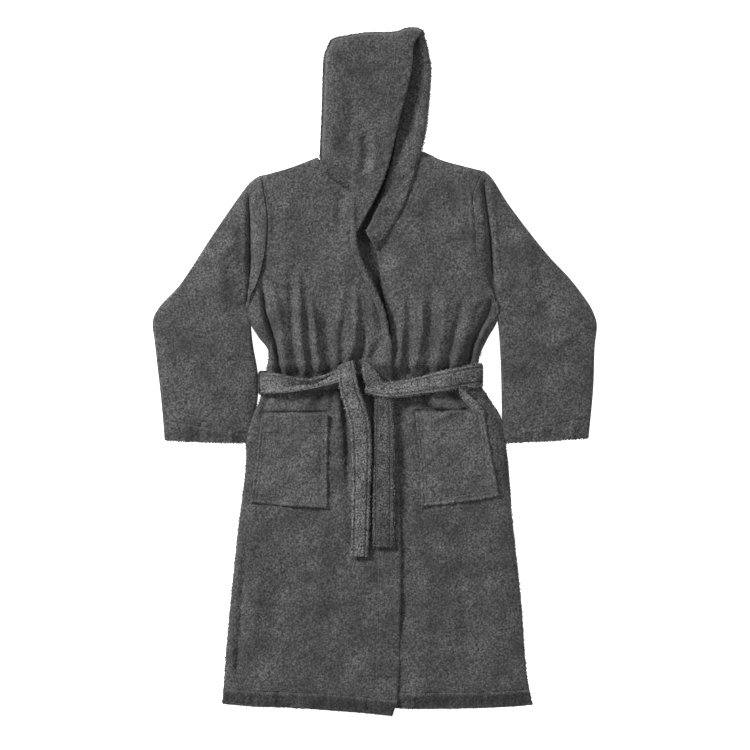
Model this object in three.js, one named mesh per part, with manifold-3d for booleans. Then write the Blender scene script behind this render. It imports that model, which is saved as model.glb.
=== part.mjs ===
// A hooded terry bathrobe that lies on its back, sleeves down and belt tied, in millimetres.
// +Z is up from the surface, +Y runs to the hood and +X to the wearer's left side.
// Each cloth piece is a plain slab or a shallow cap with a sewn wall, stacked in the order it is worn.
import * as THREE from "three";
import { mergeVertices } from "three/addons/utils/BufferGeometryUtils.js";
import Module from "manifold-3d";

const wasm = await Module();
wasm.setup();

// Cloth and air
const cloth = 4; // terry with its loops on both faces
const sleeveCloth = 3.5;
const gap = 0.3; // between pieces that touch
const bodyRoom = 13; // air between the back panel and the front layers
const hoodRoom = 21;
const pocketRoom = 6;
const overrun = 12; // how far a cut runs past an open edge

// Robe, half widths and drops below the high point of the shoulder
const halfNeck = 112;
const halfShoulder = 248;
const halfChest = 279;
const halfWaist = 234;
const halfHip = 283;
const halfHem = 340;
const shoulderDrop = 44;
const armpitDrop = 354;
const waistDrop = 492;
const waistSpan = 46; // the drawn-in waist reaches about this far above and below the belt
const hipDrop = 631;
const hemDrop = 1206;
const frontCornerDip = 26; // the front corners hang lower than the side seams
const lapelDrop = 190; // where the two lapels end on the front edges

// Sleeve
const cuffDrop = 630;
const elbowDrop = 366;
const elbowReach = 485; // from the centre line
const cuffReach = 461;
const sleeveTuck = 26; // how far the sleeve head reaches inside the armhole

// Hood, heights above the neck seam
const hoodHeight = 280;
const hoodBack = 118;
const hoodFront = 124;
const hoodBandWidth = 46;
const neckClear = 4.5; // between the neck edge and the hood that folds

// Bands, pockets
const facingWidth = 55;
const pocketMouth = 146;
const pocketBase = 168;
const pocketDepth = 198;
const pocketInner = 104; // from the centre line
const pocketDrop = 571;

// Belt, knot and loops
const beltWidth = 44;
const beltThick = 6;
const beltSlack = 12; // how far the belt stands off the waist at each side
const channelRamp = 12;
const knot = { x: -33, drop: 490, radius: 40, rise: 28 };
const upperTail = { width: 38, length: 392, lean: 4 };
const lowerTail = { width: 42, length: 372, lean: 52 };
const braid = 2.5;
const braidWidth = 10;
const loopRise = 38; // the belt loop reaches this far above and below the waist line
const hanger = { width: 60, depth: 24, tape: 8, thick: 2 };

// Layer heights above the surface
const leftFacingLow = cloth + bodyRoom;
const leftFrontLow = leftFacingLow + cloth + gap;
const rightFacingLow = leftFrontLow + cloth + gap;
const rightFrontLow = rightFacingLow + cloth + gap;
const leftFrontTop = leftFrontLow + cloth;
const rightFrontTop = rightFrontLow + cloth;
const beltLow = rightFrontTop + gap;
const lapelTop = beltLow + cloth;
const pocketTop = rightFrontTop + pocketRoom + cloth;
const lowerTailLow = Math.max(pocketTop, beltLow + beltThick) + gap;
const upperTailLow = lowerTailLow + beltThick + gap;
const leftBandTop = 2 * cloth + gap;
const rightBandLow = leftBandTop + hoodRoom;
const rightHoodLow = Math.max(rightBandLow + cloth + gap, lapelTop - cloth);

// The origin is under the middle of the robe's own box
const neckY = (hemDrop + frontCornerDip - hoodHeight) / 2;
const skirt = (share) => waistDrop + share * (hemDrop - waistDrop);

const finishes = {
  terry: { color: 0x4f4f50, roughness: 0.95, metalness: 0 },
  band: { color: 0x494949, roughness: 0.95, metalness: 0 },
  belt: { color: 0x5a5a5b, roughness: 0.95, metalness: 0 },
  braid: { color: 0x3c3c3d, roughness: 0.85, metalness: 0 },
};

const group = new THREE.Group();

// Solids

function solid(geometry) {
  const bare = geometry.clone();
  bare.deleteAttribute("normal");
  bare.deleteAttribute("uv");
  const merged = mergeVertices(bare, 1e-4);
  return new wasm.Manifold(
    new wasm.Mesh({
      numProp: 3,
      vertProperties: new Float32Array(merged.attributes.position.array),
      triVerts: new Uint32Array(merged.index.array),
    }),
  );
}

function add(name, made, finish) {
  const mesh = made.getMesh();
  const geometry = new THREE.BufferGeometry();
  geometry.setAttribute("position", new THREE.BufferAttribute(mesh.vertProperties, 3));
  geometry.setIndex(new THREE.BufferAttribute(mesh.triVerts, 1));
  geometry.computeVertexNormals();
  const piece = new THREE.Mesh(geometry, new THREE.MeshStandardMaterial(finishes[finish]));
  piece.name = name;
  group.add(piece);
}

// A flat slab of an outline, whose points are [x, drop].
function slab(points, low, high) {
  const shape = new THREE.Shape(points.map(([x, drop]) => new THREE.Vector2(x, neckY - drop)));
  const geometry = new THREE.ExtrudeGeometry(shape, { depth: high - low, bevelEnabled: false });
  return solid(geometry.translate(0, 0, low));
}

function block(x0, x1, drop0, drop1, low, high) {
  return slab([[x0, drop0], [x1, drop0], [x1, drop1], [x0, drop1]], low, high);
}

function disc(x, drop, radius, low, high) {
  const geometry = new THREE.CylinderGeometry(radius, radius, high - low, 48);
  geometry.rotateX(Math.PI / 2);
  return solid(geometry.translate(x, neckY - drop, (low + high) / 2));
}

// Outlines

function curve(points, steps) {
  const spline = new THREE.SplineCurve(points.map(([x, drop]) => new THREE.Vector2(x, drop)));
  return spline.getPoints(steps).map((p) => [p.x, p.y]);
}

const mirrored = (points) => points.map(([x, drop]) => [-x, drop]);

// Joins runs of points into one closed outline, and notes which edges are open cloth edges.
function outline(runs) {
  const points = [];
  const open = [];
  for (const run of runs) {
    run.points.slice(0, -1).forEach((p) => {
      points.push(p);
      open.push(Boolean(run.open));
    });
  }
  return { points, open };
}

// Moves each edge of an outline inwards by its own distance, or outwards where that is negative.
function offset(points, distances) {
  const n = points.length;
  const area = points.reduce((sum, [x, y], i) => {
    const [u, v] = points[(i + 1) % n];
    return sum + (x * v - u * y) / 2;
  }, 0);
  const turn = Math.sign(area);
  const edges = points.map(([x, y], i) => {
    const [u, v] = points[(i + 1) % n];
    const length = Math.hypot(u - x, v - y);
    const normal = [(-turn * (v - y)) / length, (turn * (u - x)) / length];
    const d = distances[i];
    return { from: [x + normal[0] * d, y + normal[1] * d], along: [u - x, v - y], normal };
  });
  return points.map((_, i) => {
    const a = edges[(i + n - 1) % n];
    const b = edges[i];
    const cross = a.along[0] * b.along[1] - a.along[1] * b.along[0];
    const size = Math.hypot(...a.along) * Math.hypot(...b.along);
    if (Math.abs(cross) < 0.02 * size) return b.from;
    const [dx, dy] = [b.from[0] - a.from[0], b.from[1] - a.from[1]];
    const t = (dx * b.along[1] - dy * b.along[0]) / cross;
    return [a.from[0] + t * a.along[0], a.from[1] + t * a.along[1]];
  });
}

// A cap of cloth: a plate at the top with a wall down to low along every sewn edge.
function cap({ points, open }, low, high, plate, wall) {
  const inner = offset(points, open.map((isOpen) => (isOpen ? -overrun : wall)));
  return slab(points, low, high).subtract(slab(inner, low - 1, high - plate));
}

// A strip of the given width on one side of a line of points.
function strip(line, width) {
  const shifted = line.map(([x, drop], i) => {
    const [x0, y0] = line[Math.max(i - 1, 0)];
    const [x1, y1] = line[Math.min(i + 1, line.length - 1)];
    const length = Math.hypot(x1 - x0, y1 - y0);
    return [x - (width * (y1 - y0)) / length, drop + (width * (x1 - x0)) / length];
  });
  return [...line, ...shifted.reverse()];
}

// Shared lines, drawn for the wearer's left side

const shoulderLine = curve(
  [[halfNeck, 0], [(halfNeck + halfShoulder) / 2, 0.6 * shoulderDrop], [halfShoulder, shoulderDrop]],
  6,
);
const armholeLine = [[halfShoulder, shoulderDrop], [halfChest, armpitDrop]];
const sideLine = curve(
  [
    [halfChest, armpitDrop],
    [(halfChest + halfWaist) / 2, (armpitDrop + waistDrop - waistSpan) / 2],
    [halfWaist, waistDrop - waistSpan],
    [halfWaist, waistDrop],
    [halfWaist, waistDrop + 0.8 * waistSpan],
    [(halfWaist + halfHip) / 2 + 6, (waistDrop + waistSpan + hipDrop) / 2 - 8],
    [halfHip, hipDrop],
    [halfHip + 0.36 * (halfHem - halfHip), skirt(0.45)],
    [halfHip + 0.7 * (halfHem - halfHip), skirt(0.72)],
    [halfHem, hemDrop],
  ],
  36,
);

function sideAt(drop) {
  const i = sideLine.findIndex((p) => p[1] >= drop);
  if (i < 1) return i === 0 ? halfChest : halfHem;
  const [[x0, d0], [x1, d1]] = [sideLine[i - 1], sideLine[i]];
  return x0 + ((x1 - x0) * (drop - d0)) / (d1 - d0);
}

// The front edges, from the neck down; the right front lies over the left.
const rightEdge = curve(
  [
    [-52, 0.4 * lapelDrop],
    [-41, 0.9 * lapelDrop],
    [-19, lapelDrop + 63],
    [5, lapelDrop + 111],
    [22, waistDrop - 145],
    [36, waistDrop - 70],
    [38, waistDrop],
    [48, skirt(0.3)],
    [55, skirt(0.57)],
    [51, skirt(0.83)],
    [36, hemDrop + frontCornerDip],
  ],
  30,
);
const leftEdge = curve(
  [[5, lapelDrop + 19], [20, lapelDrop + 120], [36, waistDrop - 98], [20, waistDrop], [-20, skirt(0.3)], [-60, hemDrop + 3]],
  20,
);

// Back panel, one slab that rises over the belt where the belt passes under it
{
  const channelHalf = beltWidth / 2 + 14;
  const y = (drop) => neckY - drop;
  const rise = beltThick + gap;
  const low = [
    [y(hemDrop) - overrun, 0],
    [y(waistDrop + channelHalf + channelRamp), 0],
    [y(waistDrop + channelHalf), rise],
    [y(waistDrop - channelHalf), rise],
    [y(waistDrop - channelHalf - channelRamp), 0],
    [y(0) + overrun, 0],
  ];
  const section = [...low, ...low.map(([u, v]) => [u, v + cloth]).reverse()];
  const width = 2 * (halfHem + overrun);
  const shape = new THREE.Shape(section.map(([u, v]) => new THREE.Vector2(u, v)));
  const ribbon = new THREE.ExtrudeGeometry(shape, { depth: width, bevelEnabled: false });
  // the section's own plane is turned from XY to YZ, so its depth runs along X
  ribbon.applyMatrix4(new THREE.Matrix4().set(0, 0, 1, -width / 2, 1, 0, 0, 0, 0, 1, 0, 0, 0, 0, 0, 1));
  const half = [...shoulderLine, ...armholeLine.slice(1), ...sideLine.slice(1)];
  const plan = slab([...half, ...mirrored(half).reverse()], -1, 60);
  add("back_panel", solid(ribbon).intersect(plan), "terry");
}

// Front panels, capped down to the back panel along the shoulder and side seams
function frontPanel(side, edge, low) {
  const at = side < 0 ? mirrored : (points) => points;
  const hemEnd = edge[edge.length - 1];
  const runs = [
    { points: at(shoulderLine) },
    { points: at(armholeLine), open: true },
    { points: at(sideLine) },
    { points: [at([sideLine.at(-1)])[0], hemEnd], open: true },
    { points: [...edge].reverse(), open: true },
    { points: [edge[0], at([shoulderLine[0]])[0]], open: true },
  ];
  const seamLow = cloth + gap;
  const made = cap(outline(runs), seamLow, low + cloth, cloth, cloth);
  const reach = beltWidth / 2 + 14 + channelRamp + gap;
  const channel = block(
    -halfHem, halfHem, waistDrop - reach, waistDrop + reach, 0, cloth + beltThick + 2 * gap,
  );
  return made.subtract(channel);
}
add("left_front_panel", frontPanel(1, leftEdge, leftFrontLow), "terry");
add("right_front_panel", frontPanel(-1, rightEdge, rightFrontLow), "terry");

// Front facings, sewn behind the front edges
function facing(edge, side, low) {
  const line = edge.filter(([, drop]) => drop > lapelDrop + 25);
  const inset = line.map(([x, drop]) => [x + side * 1.5, drop]);
  return slab(strip(inset, side < 0 ? facingWidth : -facingWidth), low, low + cloth);
}
add("left_front_facing", facing(leftEdge, 1, leftFacingLow), "band");
add("right_front_facing", facing(rightEdge, -1, rightFacingLow), "band");

// Lapels: the left one rolls out over its front, and the right one runs up into the hood
const slitLine = curve([[36, 0], [29, 24], [9, 0.42 * lapelDrop], [-19, 0.7 * lapelDrop], [-41, 0.9 * lapelDrop]], 10);
const neckSeam = curve([[-52, 0.4 * lapelDrop], [-85, 57], [-halfNeck, 37], [-halfNeck, 0]], 8);
add("right_lapel", slab([...slitLine, ...neckSeam], beltLow, lapelTop), "band");
{
  const outer = curve([[100, 0], [84, 52], [56, 0.66 * lapelDrop], [5, lapelDrop + 19]], 10);
  const inner = curve([[-16, lapelDrop - 31], [-10, 0.76 * lapelDrop], [9, 0.59 * lapelDrop], [23, 57], [31, 0]], 10);
  add("left_lapel", slab([...outer, ...inner], leftFrontTop + gap, leftFrontTop + gap + cloth), "band");
}

// Patch pockets, sewn on three sides and open at the mouth
function pocket(side, low) {
  const points = [
    [side * pocketInner, pocketDrop],
    [side * (pocketInner + pocketMouth), pocketDrop],
    [side * (pocketInner + pocketBase), pocketDrop + pocketDepth - 10],
    [side * pocketInner, pocketDrop + pocketDepth],
  ];
  const open = [true, false, false, false];
  return cap({ points, open }, low + gap, low + pocketRoom + cloth, cloth, cloth);
}
add("left_pocket", pocket(1, leftFrontTop), "terry");
add("right_pocket", pocket(-1, rightFrontTop), "terry");

// Sleeves: flat tubes whose heads lie inside the armholes, between the back and the front
function sleeve(side) {
  const cuffIn = Math.max(halfChest, sideAt(cuffDrop), sideAt(hipDrop)) + 3.5;
  const headIn = (drop) =>
    halfShoulder + ((halfChest - halfShoulder) * (drop - shoulderDrop)) / (armpitDrop - shoulderDrop) - sleeveTuck;
  const headTop = shoulderDrop + 27;
  const headLow = armpitDrop - 18;
  const outer = curve(
    [
      [halfShoulder + 6, shoulderDrop + 8],
      [halfShoulder + 34, 76],
      [(halfShoulder + elbowReach) / 2 - 14, 176],
      [elbowReach - 58, elbowDrop - 76],
      [elbowReach - 9, elbowDrop - 24],
      [elbowReach, elbowDrop + 10],
      [elbowReach - 7, elbowDrop + 62],
      [cuffReach + 6, (elbowDrop + cuffDrop) / 2 + 40],
      [cuffReach, cuffDrop - 4],
    ],
    24,
  );
  const runs = [
    { points: [[headIn(headTop), headTop], outer[0]] },
    { points: outer },
    { points: [outer.at(-1), [cuffIn, cuffDrop]], open: true },
    { points: [[cuffIn, cuffDrop], [cuffIn, armpitDrop + 6]] },
    { points: [[cuffIn, armpitDrop + 6], [cuffIn - 4, headLow + 6], [headIn(headLow), headLow]] },
    { points: [[headIn(headLow), headLow], [headIn(headTop), headTop]], open: true },
  ].map((run) => (side < 0 ? { ...run, points: mirrored(run.points) } : run));
  const { points, open } = outline(runs);
  const low = cloth + gap;
  const high = leftFrontLow - gap;
  const inner = offset(points, open.map((isOpen) => (isOpen ? -overrun : sleeveCloth)));
  return slab(points, low, high).subtract(slab(inner, low + sleeveCloth, high - sleeveCloth));
}
add("left_sleeve", sleeve(1), "terry");
add("right_sleeve", sleeve(-1), "terry");

// Hood: two halves joined along the crown, each with a band along the face edge
const crown = curve(
  [
    [-hoodBack, -neckClear],
    [2 - hoodBack, -0.3 * hoodHeight],
    [6 - hoodBack, -0.66 * hoodHeight],
    [12 - hoodBack, -0.85 * hoodHeight],
    [33 - hoodBack, -0.915 * hoodHeight],
    [-19, -0.96 * hoodHeight],
    [42, -0.965 * hoodHeight],
    [78, -hoodHeight],
    [106, -0.982 * hoodHeight],
  ],
  24,
);
const lowerFace = curve(
  [
    [106, -0.982 * hoodHeight],
    [hoodFront - 7, -0.82 * hoodHeight],
    [hoodFront, -0.66 * hoodHeight],
    [hoodFront - 5, -0.42 * hoodHeight],
    [hoodFront - 11, -0.18 * hoodHeight],
    [100, -neckClear],
  ],
  12,
);
const upperFace = curve(
  [
    [100, -0.95 * hoodHeight],
    [84, -0.87 * hoodHeight],
    [80, -0.68 * hoodHeight],
    [69, -0.49 * hoodHeight],
    [54, -0.32 * hoodHeight],
    [42, -0.11 * hoodHeight],
    [37, -neckClear],
  ],
  12,
);
{
  add("left_hood_half", slab([...crown, ...lowerFace.slice(1)], 0, cloth), "terry");
  const runs = [
    { points: crown },
    { points: [crown.at(-1), ...upperFace], open: true },
    { points: [upperFace.at(-1), crown[0]], open: true },
  ];
  const upper = cap(outline(runs), cloth + gap, rightHoodLow + cloth, cloth, cloth);
  add("right_hood_half", upper, "terry");
  const lowerBand = strip(lowerFace.slice(2), hoodBandWidth);
  add("left_hood_band", slab(lowerBand, cloth + gap, leftBandTop), "band");
  const upperBand = strip(upperFace.slice(2), hoodBandWidth);
  add("right_hood_band", slab(upperBand, rightHoodLow - gap - cloth, rightHoodLow - gap), "band");
}

// Belt: it passes under the back, up both sides and over the fronts to the knot
{
  const reach = halfWaist + beltSlack;
  const half = beltWidth / 2;
  const [leftMid, rightMid] = [waistDrop - 8, waistDrop + 8]; // the two ends don't sit level
  const high = beltLow + beltThick;
  const under = slab(
    [[-reach, rightMid - half], [reach, leftMid - half], [reach, leftMid + half], [-reach, rightMid + half]],
    0, beltThick,
  );
  const left = block(reach - beltThick, reach, leftMid - half, leftMid + half, 0, high);
  const right = block(-reach, beltThick - reach, rightMid - half, rightMid + half, 0, high);
  const leftRun = slab(
    [[reach, leftMid - half], [70, knot.drop + 4], [knot.x, knot.drop + 4], [knot.x, knot.drop + 40],
      [70, knot.drop + 40], [reach, leftMid + half]],
    beltLow, high,
  );
  const rightRun = slab(
    [[-reach, rightMid - half], [-151, rightMid - 12], [knot.x, knot.drop - 20], [knot.x, knot.drop + 26],
      [-151, rightMid + 14], [-reach, rightMid + half]],
    beltLow, high,
  );
  const room = disc(knot.x, knot.drop, knot.radius + gap, 0, high + 1);
  const ring = left.add(right).add(leftRun.add(rightRun).subtract(room)).add(under);
  add("belt_waist", ring, "belt");
}

// Knot, a flattened round of wrapped belt
{
  const half = knot.rise / 2;
  const bulge = new THREE.EllipseCurve(0, 0, knot.radius, half, -Math.PI / 2, Math.PI / 2);
  const profile = bulge.getPoints(12).map((p) => new THREE.Vector2(Math.max(p.x, 0), p.y));
  profile[0].x = 0;
  profile[12].x = 0;
  const round = new THREE.LatheGeometry(profile, 32);
  round.rotateX(Math.PI / 2);
  round.translate(knot.x, neckY - knot.drop, beltLow + half);
  add("belt_knot", solid(round), "belt");
}

// Tails, which swing at the knot
function tail({ width, length, lean }, low) {
  const start = [knot.x, knot.drop];
  const middle = [knot.x + lean, knot.drop + 0.28 * length];
  const end = [knot.x + lean, knot.drop + length];
  const line = curve([start, middle, end], 10);
  const centred = line.map(([x, drop]) => [x + width / 2, drop]);
  const made = slab(strip(centred, width), low, low + beltThick);
  return made.subtract(disc(knot.x, knot.drop, knot.radius + 2 * gap, 0, low + 2 * beltThick));
}
add("belt_tail_lower", tail(lowerTail, lowerTailLow), "belt");
add("belt_tail_upper", tail(upperTail, upperTailLow), "belt");

// Belt loops, thin braid sewn to the side seams above and below the belt
function beltLoop(side) {
  const inside = halfWaist + beltSlack + gap;
  const outside = inside + braid;
  const [top, foot] = [waistDrop - loopRise, waistDrop + loopRise];
  const seam = Math.max(sideAt(top), sideAt(foot), halfWaist) + gap;
  const points = [
    [seam, top],
    [outside, top],
    [outside, foot],
    [seam, foot],
    [seam, foot - braid],
    [inside, foot - braid],
    [inside, top + braid],
    [seam, top + braid],
  ].map(([x, drop]) => [side * x, drop]);
  return slab(points, cloth + beltThick, cloth + beltThick + braidWidth);
}
add("left_belt_loop", beltLoop(1), "braid");
add("right_belt_loop", beltLoop(-1), "braid");

// Hanger loop, a tape loop at the inside back neck that flips up on its stitching
{
  const half = hanger.width / 2;
  const low = cloth + gap;
  const tape = block(-half, half, 3, 3 + hanger.depth, low, low + hanger.thick);
  const eye = block(hanger.tape - half, half - hanger.tape, 2, 3 + hanger.depth - hanger.tape, low - 1, low + 9);
  add("hanger_loop", tape.subtract(eye), "braid");
}

export default group;
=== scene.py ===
import math
import bpy
import numpy as np
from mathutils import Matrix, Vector


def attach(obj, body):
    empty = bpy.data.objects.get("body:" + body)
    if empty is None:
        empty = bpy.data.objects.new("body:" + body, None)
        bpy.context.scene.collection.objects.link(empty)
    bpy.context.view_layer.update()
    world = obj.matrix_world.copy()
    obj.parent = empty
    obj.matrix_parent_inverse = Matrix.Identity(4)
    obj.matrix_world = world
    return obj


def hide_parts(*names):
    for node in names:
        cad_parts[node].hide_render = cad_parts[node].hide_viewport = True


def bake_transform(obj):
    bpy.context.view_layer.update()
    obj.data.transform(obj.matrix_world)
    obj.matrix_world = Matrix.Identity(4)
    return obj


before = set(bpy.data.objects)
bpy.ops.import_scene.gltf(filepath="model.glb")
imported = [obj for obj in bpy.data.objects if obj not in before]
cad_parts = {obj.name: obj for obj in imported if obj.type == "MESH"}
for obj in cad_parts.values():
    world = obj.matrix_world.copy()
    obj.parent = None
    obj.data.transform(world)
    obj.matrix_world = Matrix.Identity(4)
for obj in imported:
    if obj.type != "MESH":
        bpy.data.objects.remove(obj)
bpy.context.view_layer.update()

# Camera: looks straight down on the robe, which lies on its back.
# It hangs about four metres up, so the perspective is slight.
CAMERA_PLACE = (0.0005, -0.0077, 3.9)
scene = bpy.context.scene


def add_object(name, data):
    made = bpy.data.objects.new(name, data)
    scene.collection.objects.link(made)
    return made


camera_data = bpy.data.cameras.new("overhead")
camera_data.lens = 85
camera_data.sensor_width = 36
camera = add_object("overhead", camera_data)
camera.location = CAMERA_PLACE
scene.camera = camera

# Studio: a wide white table, a bright white sky and two soft lamps.
# The table is lit past white, so the dark cloth stands out clean all round.
scene.view_settings.view_transform = "Standard"
TABLE_HALF = 9.0
TABLE_DROP = -0.0008
WHITE = (1, 1, 1, 1)
SKY_LIGHT = 0.38


def set_inputs(node, values):
    for socket_name, value in values.items():
        node.inputs[socket_name].default_value = value


def add_node(tree, kind, values=None, **settings):
    node = tree.nodes.new(kind)
    for key, value in settings.items():
        setattr(node, key, value)
    set_inputs(node, values or {})
    return node


def wire(tree, *links):
    for source, output, target, entry in links:
        tree.links.new(source.outputs[output], target.inputs[entry])


def new_material(name, values):
    material = bpy.data.materials.new(name)
    material.use_nodes = True
    shader = material.node_tree.nodes["Principled BSDF"]
    set_inputs(shader, values)
    return material, material.node_tree, shader


table_mesh = bpy.data.meshes.new("table_top")
table_mesh.from_pydata(
    [(x * TABLE_HALF, y * TABLE_HALF, TABLE_DROP) for x, y in ((-1, -1), (1, -1), (1, 1), (-1, 1))],
    [], [(0, 1, 2, 3)])
table_paint, _, _ = new_material("table_white", {
    "Base Color": (0.93, 0.93, 0.93, 1), "Roughness": 0.8, "Emission Color": WHITE, "Emission Strength": 1.0})
table_mesh.materials.append(table_paint)
add_object("table_top", table_mesh)
sky = bpy.data.worlds.new("white_room")
sky.use_nodes = True
sky_tree = sky.node_tree
sky_light = sky_tree.nodes["Background"]
set_inputs(sky_light, {"Color": WHITE, "Strength": SKY_LIGHT})
sky_seen = add_node(sky_tree, "ShaderNodeBackground", {"Color": WHITE})
sky_choice = add_node(sky_tree, "ShaderNodeMixShader")
sky_path = add_node(sky_tree, "ShaderNodeLightPath")
wire(
    sky_tree,
    (sky_path, "Is Camera Ray", sky_choice, "Fac"),
    (sky_light, "Background", sky_choice, 1),
    (sky_seen, "Background", sky_choice, 2),
    (sky_choice, "Shader", sky_tree.nodes["World Output"], "Surface"))
scene.world = sky


def soft_lamp(name, place, size, power):
    lamp_data = bpy.data.lights.new(name, "AREA")
    lamp_data.shape = "DISK"
    lamp_data.size = size
    lamp_data.energy = power
    lamp = add_object(name, lamp_data)
    lamp.location = place
    lamp.rotation_euler = (-Vector(place)).to_track_quat("-Z", "Y").to_euler()


soft_lamp("key", (-4.8, 3.6, 3.5), 1.8, 760)
soft_lamp("fill", (4.8, 0.6, 5.0), 3.0, 110)

# Terry cloth: dark grey cotton with loops on both faces, knitted close and slightly uneven.
# Each loop is a lump of a few millimetres, painted lighter on its crown and darker at its foot: painted
# highlight and painted shade laid over the bump.
MM = 0.001
LOOP_LUMP = 0.60
CLUMP_LUMP = 0.75
LUMP_MIDDLE = 0.55


def new_group(name, kind, inputs, outputs):
    group = bpy.data.node_groups.new(name, kind)
    for socket_name, socket_kind, start in inputs:
        made = group.interface.new_socket(socket_name, in_out="INPUT", socket_type="NodeSocket" + socket_kind)
        if start:
            made.default_value = start
    for socket_name, socket_kind in outputs:
        group.interface.new_socket(socket_name, in_out="OUTPUT", socket_type="NodeSocket" + socket_kind)
    return group, group.nodes.new("NodeGroupInput"), group.nodes.new("NodeGroupOutput")


terry_pile, pile_in, pile_out = new_group(
    "terry_pile", "ShaderNodeTree", [("Loop Size", "Float", 0.0042), ("Patchiness", "Float", 0.35)],
    [("Tone", "Float"), ("Height", "Float")])


def pile_math(kind, first, second):
    node = add_node(terry_pile, "ShaderNodeMath", operation=kind)
    for socket, value in zip(node.inputs, (first, second)):
        if isinstance(value, float):
            socket.default_value = value
        else:
            terry_pile.links.new(value, socket)
    return node.outputs[0]


pile_place = add_node(terry_pile, "ShaderNodeAttribute", attribute_name="cloth_place")
per_loop = pile_math("DIVIDE", 1.0, pile_in.outputs["Loop Size"])
loops = add_node(terry_pile, "ShaderNodeTexVoronoi", feature="SMOOTH_F1")
set_inputs(loops, {"Smoothness": 0.7})
terry_pile.links.new(per_loop, loops.inputs["Scale"])
clumps = add_node(terry_pile, "ShaderNodeTexNoise", {"Detail": 3.0, "Roughness": 0.62})
terry_pile.links.new(pile_math("MULTIPLY", per_loop, 0.9), clumps.inputs["Scale"])
patches = add_node(terry_pile, "ShaderNodeTexNoise", {"Detail": 2.0, "Scale": 22.0})
for texture in (loops, clumps, patches):
    wire(terry_pile, (pile_place, "Vector", texture, "Vector"))
loop_crown = pile_math("POWER", pile_math("SUBTRACT", 1.0, loops.outputs["Distance"]), 3.0)
clump_part = pile_math("MULTIPLY", clumps.outputs["Fac"], CLUMP_LUMP)
lumps = pile_math("ADD", pile_math("MULTIPLY", loop_crown, LOOP_LUMP), clump_part)
patch_part = pile_math(
    "MULTIPLY", pile_math("SUBTRACT", patches.outputs["Fac"], 0.5), pile_in.outputs["Patchiness"])
worn_flat = pile_math("ADD", -0.15, pile_math("MULTIPLY", patches.outputs["Fac"], 2.5))
# The loops' tone follows their bump height, giving a painted highlight on the crowns and painted shade at the
# feet; the broad patches are the cloth's own uneven tone.
lump_light_and_shade = pile_math(
    "ADD", LUMP_MIDDLE, pile_math("MULTIPLY", pile_math("SUBTRACT", lumps, LUMP_MIDDLE), worn_flat))
terry_pile.links.new(lumps, pile_out.inputs["Height"])
terry_pile.links.new(pile_math("ADD", lump_light_and_shade, patch_part), pile_out.inputs["Tone"])


def terry(name, dark, light, loop_size=0.0042, bump=0.8):
    cloth, tree, shader = new_material(name, {
        "Roughness": 0.95, "Specular IOR Level": 0.18, "Sheen Weight": 0.12, "Sheen Roughness": 0.55,
        "Sheen Tint": (0.62, 0.62, 0.62, 1)})
    pile = add_node(tree, "ShaderNodeGroup", node_tree=terry_pile)
    set_inputs(pile, {"Loop Size": loop_size, "Patchiness": 0.62})
    # The ramp runs from the foot colour to the crown colour, so the loops carry painted shade and painted
    # highlight.
    shade = add_node(tree, "ShaderNodeValToRGB")
    foot, crown = shade.color_ramp.elements
    foot.position, foot.color = 0.27, (dark, dark, dark * 1.02, 1)
    crown.position, crown.color = 0.95, (light, light, light * 1.015, 1)
    # The attribute read here multiplies the cloth colour down to half where it is set: painted shade in hems,
    # seams and folds.
    painted_shade = add_node(tree, "ShaderNodeAttribute", attribute_name="painted_shade")
    darker = add_node(tree, "ShaderNodeMix", data_type="RGBA", blend_type="MULTIPLY")
    set_inputs(darker, {"B": (0.50, 0.50, 0.51, 1)})
    relief = add_node(tree, "ShaderNodeBump", {"Strength": bump, "Distance": 0.0016})
    wire(
        tree,
        (pile, "Tone", shade, "Fac"),
        (painted_shade, "Fac", darker, "Factor"),
        (shade, "Color", darker, "A"),
        (darker, "Result", shader, "Base Color"),
        (pile, "Height", relief, "Height"),
        (relief, "Normal", shader, "Normal"))
    return cloth


robe_terry = terry("robe_terry", 0.024, 0.142)
pocket_terry = terry("pocket_terry", 0.027, 0.182, loop_size=0.0040)
band_terry = terry("band_terry", 0.020, 0.095, loop_size=0.0036, bump=0.6)
# The last two copies are for the belt: shaded_terry, darker than the belt's, is painted shade on the lower
# tail; the brighter belt copy is painted light on the raised belt.
shaded_terry = terry("shaded_terry", 0.008, 0.170, loop_size=0.0034, bump=1.0)
belt_terry = terry("belt_terry", 0.013, 0.315, loop_size=0.0034, bump=1.0)

# Back panel: one wide piece of terry from the neck to the hem, which all the rest lies on.
# It rises a little over the belt, which passes under it at the waist.
CLOTH = 4 * MM
RIM_ROUND = 0.42
OFF_TABLE = 0.3 * MM
BELT_BELOW = 6.4 * MM


def smooth_line(points):
    p = np.array(points, float) * MM
    p = np.vstack([2 * p[0] - p[1], p, 2 * p[-1] - p[-2]])
    t = np.linspace(0, 1, 24, endpoint=False)[:, None]
    runs = [
        0.5 * (2 * b + (c - a) * t + (2 * a - 5 * b + 4 * c - d) * t ** 2 + (3 * b - a - 3 * c + d) * t ** 3)
        for a, b, c, d in zip(p, p[1:], p[2:], p[3:])]
    line = np.vstack(runs + [p[-2][None]])
    steps = np.linalg.norm(np.diff(line, axis=0), axis=1)
    return line, np.concatenate([[0], np.cumsum(steps)])


def along(line, share):
    points, reach = line
    return np.stack([np.interp(share * reach[-1], reach, c) for c in points.T], axis=-1)


def spaced(length, step, fine_ends=(), fine_step=0.0016):
    marks = [np.linspace(0, length, max(2, round(length / step) + 1))]
    for first, last in fine_ends:
        marks.append(np.arange(first, last, fine_step))
    marks = np.unique(np.concatenate(marks))
    keep = [marks[0]]
    for m in marks[1:]:
        if m - keep[-1] >= fine_step * 0.9:
            keep.append(m)
    keep[-1] = length
    return np.array(keep) / length


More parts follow.
